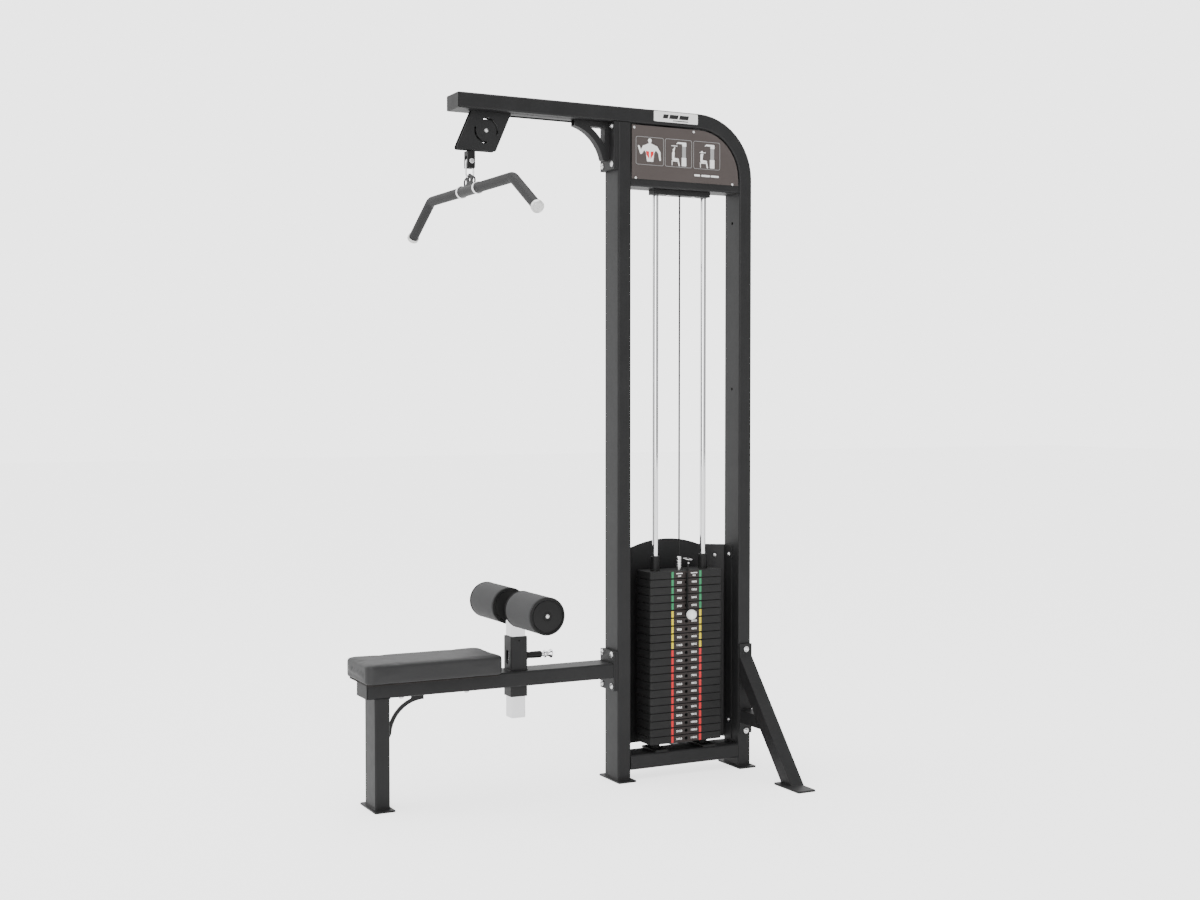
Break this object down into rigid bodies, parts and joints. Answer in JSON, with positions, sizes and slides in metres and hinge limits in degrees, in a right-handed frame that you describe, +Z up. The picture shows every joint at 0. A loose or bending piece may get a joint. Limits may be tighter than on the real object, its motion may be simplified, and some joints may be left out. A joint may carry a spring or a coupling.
{
  "type": "lat pulldown machine",
  "caption": "Pin-selected weight stack machine with a gooseneck arm, cable pulley, bent pulldown bar, padded seat and height-adjustable knee rollers.",
  "frame": {"origin": "on the floor under the middle of the front upright, in the machine's middle plane", "axes": "+Z up, +X from the seat towards the weight stack and the rear upright, +Y towards the side with the stack shroud"},
  "size_m": [1.46, 1.071, 2.29],
  "materials": {
    "powder_coat": "satin",
    "black_plastic": "matte",
    "placard": "satin",
    "plate_iron": "satin black paint",
    "chrome": "polished",
    "zinc_bolt": "zinc plated",
    "coated_cable": "nylon coated steel rope",
    "lanyard": "coiled cord",
    "bumper_rubber": "matte",
    "grip_rubber": "matte",
    "roller_foam": "vinyl skin over foam",
    "seat_vinyl": "vinyl over foam",
    "board": "black stained",
    "white_knob": "gloss",
    "nylon": "matte"
  },
  "bodies": {
    "frame": {"gooseneck_tube": "powder_coat", "arm_end_cap": "black_plastic", "front_post": "powder_coat", "bottom_beam": "powder_coat", "header_beam": "powder_coat", "header_panel_near": "placard", "header_panel_far": "placard", "arm_flange": "powder_coat", "arm_gusset": "powder_coat", "seat_flange_post": "powder_coat", "seat_flange_beam": "powder_coat", "seat_beam": "powder_coat", "seat_beam_cap": "black_plastic", "seat_post": "powder_coat", "seat_gusset": "powder_coat", "outrigger_near": "powder_coat", "outrigger_far": "powder_coat", "guide_rod_front": "chrome", "guide_rod_rear": "chrome", "rod_bracket_top": "powder_coat", "rod_foot_front": "black_plastic", "rod_foot_rear": "black_plastic", "bumper_front": "bumper_rubber", "bumper_rear": "bumper_rubber", "shroud": "powder_coat", "pulley_plate_near": "powder_coat", "pulley_plate_far": "powder_coat", "front_pulley_axle": "zinc_bolt", "rear_pulley_bracket": "powder_coat", "cable_arm_run": "coated_cable", "cable_stack_run": "coated_cable", "cable_front_drop": "coated_cable", "resting_plates_1": "plate_iron", "resting_plates_2": "plate_iron", "resting_plates_3": "plate_iron", "resting_plates_4": "plate_iron", "adjuster_sleeve": "powder_coat", "lock_pin_barrel": "black_plastic", "seat_board": "board", "seat_cushion": "seat_vinyl"},
    "lifted_stack": {"head_plate": "plate_iron", "lifted_plates": "plate_iron", "selector_stem": "chrome", "cable_ferrule": "zinc_bolt", "guide_collar_front": "black_plastic", "guide_collar_rear": "black_plastic", "pin_lanyard": "lanyard"},
    "selector_pin": {"selector_pin": "white_knob"},
    "front_pulley": {"front_pulley": "nylon"},
    "rear_pulley": {"rear_pulley": "nylon"},
    "bar_clevis": {"cable_clevis": "powder_coat"},
    "snap_link": {"snap_link": "chrome"},
    "bar_hanger": {"bar_hanger": "powder_coat"},
    "lat_bar": {"lat_bar": "chrome", "bar_grip_near": "grip_rubber", "bar_grip_far": "grip_rubber"},
    "knee_pad": {"knee_post": "chrome"},
    "roller_near": {"knee_roller_near": "roller_foam"},
    "roller_far": {"knee_roller_far": "roller_foam"},
    "lock_pin": {"lock_pin": "chrome"}
  },
  "joints": [
    {"name": "stack_lift", "type": "slide", "parent": "frame", "child": "lifted_stack", "axis": [0, 0, 1], "range_m": [0, 1.1], "deforming": ["cable_stack_run"]},
    {"name": "selector_pin_pull", "type": "slide", "parent": "lifted_stack", "child": "selector_pin", "axis": [0, -1, 0], "range_m": [0, 0.06]},
    {"name": "front_pulley_spin", "type": "hinge", "parent": "frame", "child": "front_pulley", "pos_m": [-0.4905, 0, 2.179], "axis": [0, -1, 0], "continuous": true},
    {"name": "rear_pulley_spin", "type": "hinge", "parent": "frame", "child": "rear_pulley", "pos_m": [0.188, 0, 2.179], "axis": [0, -1, 0], "continuous": true},
    {"name": "bar_pull", "type": "slide", "parent": "frame", "child": "bar_clevis", "axis": [0, 0, -1], "range_m": [0, 1.1], "deforming": ["cable_front_drop"]},
    {"name": "link_swing", "type": "hinge", "parent": "bar_clevis", "child": "snap_link", "pos_m": [-0.5445, 0, 2.076], "axis": [0, 1, 0], "range_deg": [-20, 20]},
    {"name": "bar_tilt", "type": "hinge", "parent": "snap_link", "child": "bar_hanger", "pos_m": [-0.5445, 0, 2.0235], "axis": [1, 0, 0], "range_deg": [-20, 20]},
    {"name": "bar_spin", "type": "hinge", "parent": "bar_hanger", "child": "lat_bar", "pos_m": [-0.5445, 0, 1.984], "axis": [0, 1, 0], "continuous": true},
    {"name": "knee_pad_height", "type": "slide", "parent": "frame", "child": "knee_pad", "axis": [0, 0, 1], "range_m": [-0.075, 0.125]},
    {"name": "roller_near_spin", "type": "hinge", "parent": "knee_pad", "child": "roller_near", "pos_m": [-0.384, -0.1485, 0.614], "axis": [0, 1, 0], "continuous": true},
    {"name": "roller_far_spin", "type": "hinge", "parent": "knee_pad", "child": "roller_far", "pos_m": [-0.384, 0.1485, 0.614], "axis": [0, 1, 0], "continuous": true},
    {"name": "lock_pin_pull", "type": "slide", "parent": "frame", "child": "lock_pin", "axis": [1, 0, 0], "range_m": [0, 0.012], "stiffness_N_per_m": 300, "springref_m": -0.005}
  ],
  "couplings": [
    {"joint": "bar_pull", "follows": "stack_lift", "ratio": 1},
    {"joint": "front_pulley_spin", "follows": "stack_lift", "rad_per_m": 18.518},
    {"joint": "rear_pulley_spin", "follows": "stack_lift", "rad_per_m": 18.518}
  ]
}
